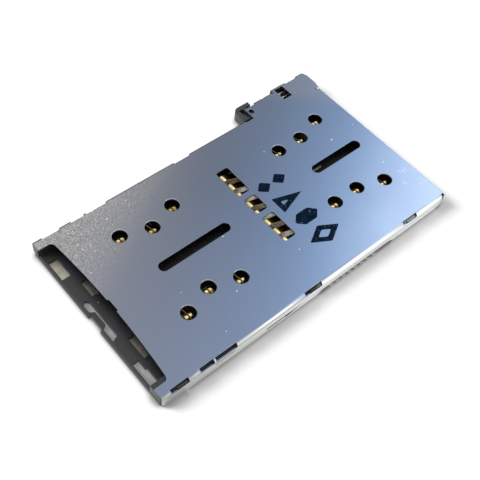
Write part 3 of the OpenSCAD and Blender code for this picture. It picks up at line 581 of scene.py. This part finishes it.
# Name, corners, width, length, place in the row, offset along the sheet, hollow or solid
for name, corners, width, length, place, offset, hollow in (
    ("ink_small_diamond_front", 4, 1.2 * mm, 1.4 * mm, 0, -ink_pair, False),
    ("ink_small_diamond_rear", 4, 1.2 * mm, 1.4 * mm, 0, ink_pair, False),
    ("ink_triangle", 3, 1.9 * mm, 3.4 * mm, 1, -0.3 * mm, True),
    ("ink_hexagon", 6, 1.4 * mm, 2.4 * mm, 2, 0.0, False),
    ("ink_diamond", 4, 1.8 * mm, 3.1 * mm, 3, 0.0, True),
):
    bpy.ops.object.select_all(action="DESELECT")
    bpy.ops.mesh.primitive_circle_add(vertices=corners, radius=0.5, fill_type="NGON")
    mark = bpy.context.active_object
    mark.name = name
    mark.scale = (width, length, 1.0)
    mark.location = (ink_first + place * ink_pitch, ink_row + offset, ink_top - ink_film / 2)
    bpy.ops.object.transform_apply(location=True, rotation=True, scale=True)
    bpy.ops.object.mode_set(mode="EDIT")
    bpy.ops.mesh.select_all(action="SELECT")
    if hollow:
        bpy.ops.mesh.inset(thickness=ink_stroke)
        bpy.ops.mesh.delete(type="FACE")
        bpy.ops.mesh.select_all(action="SELECT")
    bpy.ops.mesh.bevel(offset=ink_corner, segments=3, affect="VERTICES")
    bpy.ops.mesh.select_all(action="SELECT")
    bpy.ops.mesh.extrude_region_move(TRANSFORM_OT_translate={"value": (0.0, 0.0, ink_film)})
    bpy.ops.mesh.select_all(action="SELECT")
    bpy.ops.mesh.normals_make_consistent(inside=False)
    bpy.ops.object.mode_set(mode="OBJECT")
    mark.data.materials.append(ink)
    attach(mark, "root")

# Floor: a wide pale sheet under the socket, which takes its soft shadow.
# It is a touch brighter to the eye and in reflections than as a source of light, and an even grey
# in the deep shade that shows through the windows at the mouth.
floor_size = 1.2
floor_drop = 0.01 * mm
bpy.ops.object.select_all(action="DESELECT")
bpy.ops.mesh.primitive_plane_add(size=floor_size, location=(0, 0, -floor_drop))
floor = bpy.context.active_object
floor.name = "pale_floor"
paper, paper_tree, paper_shader = new_finish("pale_paper", 0.0, 0.0)
paper_shader.inputs["Roughness"].default_value = 1.0


def ray_seen(tree, low, high):
    """Gives one value to the light on surfaces, and another to what eye and reflections see."""
    rays = tree.nodes.new("ShaderNodeLightPath").outputs
    mirrored = calc(tree, "MAXIMUM", rays["Is Glossy Ray"], rays["Is Transmission Ray"])
    seen = calc(tree, "MAXIMUM", rays["Is Camera Ray"], mirrored)
    return ramp(tree, seen, 0.0, 1.0, low, high)


def shade(tree, reach, low, high):
    """Gives 1 where little of the room is seen within a reach."""
    near = tree.nodes.new("ShaderNodeAmbientOcclusion")
    near.samples = 16
    near.inputs["Distance"].default_value = reach
    return ramp(tree, near.outputs["AO"], low, high, 1.0, 0.0)


# A close shade along the foot of the walls, and a deeper one under the mouth
paper_at = split(paper_tree, coordinates(paper_tree))
paper_foot = shade(paper_tree, 0.5 * mm, 0.5, 0.95)
paper_under = product(
    paper_tree,
    shade(paper_tree, 3.0 * mm, 0.55, 0.75),
    ramp(paper_tree, paper_at["Y"], -12.2 * mm, -12.7 * mm),
)
paper_open = calc(
    paper_tree, "MINIMUM",
    ramp(paper_tree, paper_foot, 0.0, 1.0, 1.0, 0.45),
    ramp(paper_tree, paper_under, 0.0, 1.0, 1.0, 0.08),
)
paper_white = product(paper_tree, paper_open, ray_seen(paper_tree, 0.9, 1.25))
paper_tree.links.new(paper_white, paper_shader.inputs["Base Color"])
paper_rays = paper_tree.nodes.new("ShaderNodeLightPath").outputs
paper_glow = calc(
    paper_tree, "MAXIMUM",
    product(paper_tree, paper_under, paper_rays["Is Camera Ray"], 0.22),
    product(paper_tree, paper_rays["Is Glossy Ray"], 0.45),
)
paper_shader.inputs["Emission Color"].default_value = (1.0, 1.0, 1.0, 1.0)
paper_tree.links.new(paper_glow, paper_shader.inputs["Emission Strength"])
floor.data.materials.append(paper)

# Studio light: a white room, a large soft panel from the front left, one over the back and a low
# one behind the right corner. The room is white to the eye and in reflections, and dimmer as
# light on the surfaces.
panel_distance = 1.2
room = bpy.data.worlds.new("white_room")
bpy.context.scene.world = room
room.use_nodes = True
sky = room.node_tree.nodes["Background"]
sky.inputs["Color"].default_value = (1.0, 1.0, 1.0, 1.0)
room.node_tree.links.new(ray_seen(room.node_tree, 0.35, 1.0), sky.inputs["Strength"])


def soft_panel(name, direction, size, power, mirrored):
    """Hangs a square soft light that faces the socket, seen in the metal or not."""
    light = bpy.data.lights.new(name, "AREA")
    light.size = size
    light.energy = power
    panel = bpy.data.objects.new(name, light)
    bpy.context.collection.objects.link(panel)
    panel.visible_glossy = mirrored
    toward = Vector(direction).normalized()
    panel.location = toward * panel_distance
    panel.rotation_euler = toward.to_track_quat("Z", "Y").to_euler()


soft_panel("left_panel", (-0.58, -0.55, 0.6), 0.64, 12.8, False)
soft_panel("back_panel", (-0.16, 0.68, 0.71), 0.48, 0.72, True)
soft_panel("right_rim", (0.8, 0.45, 0.4), 0.4, 0.8, True)

# Camera: at the photograph's distance, height and small tilt, with a normal lens.
# It looks at a point of the shell's top a little to the front right of the middle.
camera_turn = math.radians(42.9932)
camera_height = math.radians(54.5106)
camera_tilt = math.radians(7.9897)
camera_distance = 60.7471 * mm
camera_aim = Vector((1.27446 * mm, -2.03407 * mm, 1.4 * mm))
away = Vector((
    math.sin(camera_turn) * math.cos(camera_height),
    -math.cos(camera_turn) * math.cos(camera_height),
    math.sin(camera_height),
))
side = Vector((math.cos(camera_turn), math.sin(camera_turn), 0.0))
rise = away.cross(side)
tilted_side = side * math.cos(camera_tilt) + rise * math.sin(camera_tilt)
tilted_rise = rise * math.cos(camera_tilt) - side * math.sin(camera_tilt)
lens = bpy.data.cameras.new("photo_camera")
lens.sensor_width = 36.0
lens.lens = 59.27
lens.clip_start, lens.clip_end = 0.001, 10.0
camera = bpy.data.objects.new("photo_camera", lens)
bpy.context.collection.objects.link(camera)
stand = Matrix((tilted_side, tilted_rise, away)).transposed().to_4x4()
stand.translation = camera_aim + away * camera_distance
camera.matrix_world = stand
bpy.context.scene.camera = camera
